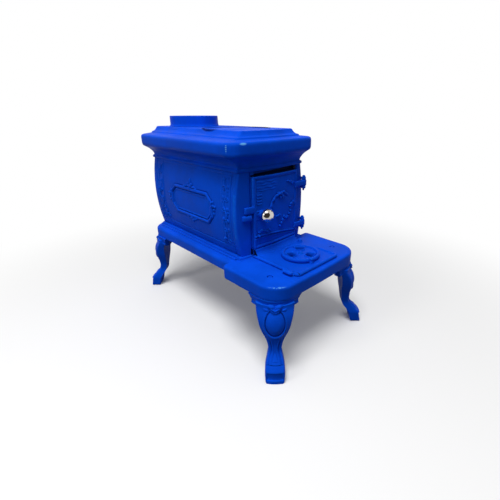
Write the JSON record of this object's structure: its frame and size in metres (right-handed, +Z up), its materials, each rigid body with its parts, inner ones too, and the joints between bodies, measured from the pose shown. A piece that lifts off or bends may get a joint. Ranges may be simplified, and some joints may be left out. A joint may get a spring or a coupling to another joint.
{
  "type": "box wood stove",
  "caption": "Cast iron box wood stove with a bowed, latched door, front hearth with draft register, lift-off cooking lid, flue collar and cabriole legs.",
  "frame": {"origin": "centre of the footprint on the floor, under the middle of the overall box", "axes": "+Z up, +Y from the hearth at the front to the flue end at the rear, +X to the right of someone who faces the door"},
  "size_m": [0.4556, 0.7828, 0.6473],
  "materials": {
    "blue_paint": "semi-gloss",
    "bright_plate": "polished plate",
    "steel": "dull",
    "bare_iron": "matte"
  },
  "bodies": {
    "stove_body": {"back_plate": "blue_paint", "base_plate": "blue_paint", "collar_bolt_left": "steel", "collar_bolt_right": "steel", "cover_pivot": "steel", "fire_grate": "bare_iron", "flue_collar": "blue_paint", "front_plate": "blue_paint", "hearth": "blue_paint", "hinge_pin_lower": "blue_paint", "hinge_pin_upper": "blue_paint", "leg_bolt_front_left": "steel", "leg_bolt_front_right": "steel", "leg_bolt_rear_left": "steel", "leg_bolt_rear_right": "steel", "leg_front_left": "blue_paint", "leg_front_right": "blue_paint", "leg_nut_front_left": "steel", "leg_nut_front_right": "steel", "leg_nut_rear_left": "steel", "leg_nut_rear_right": "steel", "leg_rear_left": "blue_paint", "leg_rear_right": "blue_paint", "side_left": "blue_paint", "side_right": "blue_paint", "tie_nut_front_left": "steel", "tie_nut_front_right": "steel", "tie_nut_rear_left": "steel", "tie_nut_rear_right": "steel", "tie_rod_front_left": "steel", "tie_rod_front_right": "steel", "tie_rod_rear_left": "steel", "tie_rod_rear_right": "steel", "top_plate": "blue_paint"},
    "door_leaf": {"door": "blue_paint"},
    "latch": {"latch_knob": "bright_plate", "latch_pawl": "steel", "latch_nut": "steel"},
    "cover": {"hearth_cover": "blue_paint", "spinner_bolt": "steel"},
    "draft_disc": {"spinner": "blue_paint"},
    "lid": {"cooking_lid": "blue_paint"}
  },
  "joints": [
    {"name": "door_hinge", "type": "hinge", "parent": "stove_body", "child": "door_leaf", "pos_m": [0.1285, -0.16709, 0.39], "axis": [0, 0, 1], "range_deg": [0, 115]},
    {"name": "latch_turn", "type": "hinge", "parent": "door_leaf", "child": "latch", "pos_m": [-0.059, -0.17639, 0.394], "axis": [0, 1, 0], "range_deg": [0, 90]},
    {"name": "cover_swing", "type": "hinge", "parent": "stove_body", "child": "cover", "pos_m": [0.091, -0.19309, 0.2658], "axis": [0, 0, 1], "range_deg": [0, 38]},
    {"name": "draft_turn", "type": "hinge", "parent": "cover", "child": "draft_disc", "pos_m": [0.008, -0.26409, 0.2716], "axis": [0, 0, 1], "range_deg": [0, 60]},
    {"name": "lid_lift", "type": "slide", "parent": "stove_body", "child": "lid", "axis": [0, 0, 1], "range_m": [0, 0.12]}
  ]
}
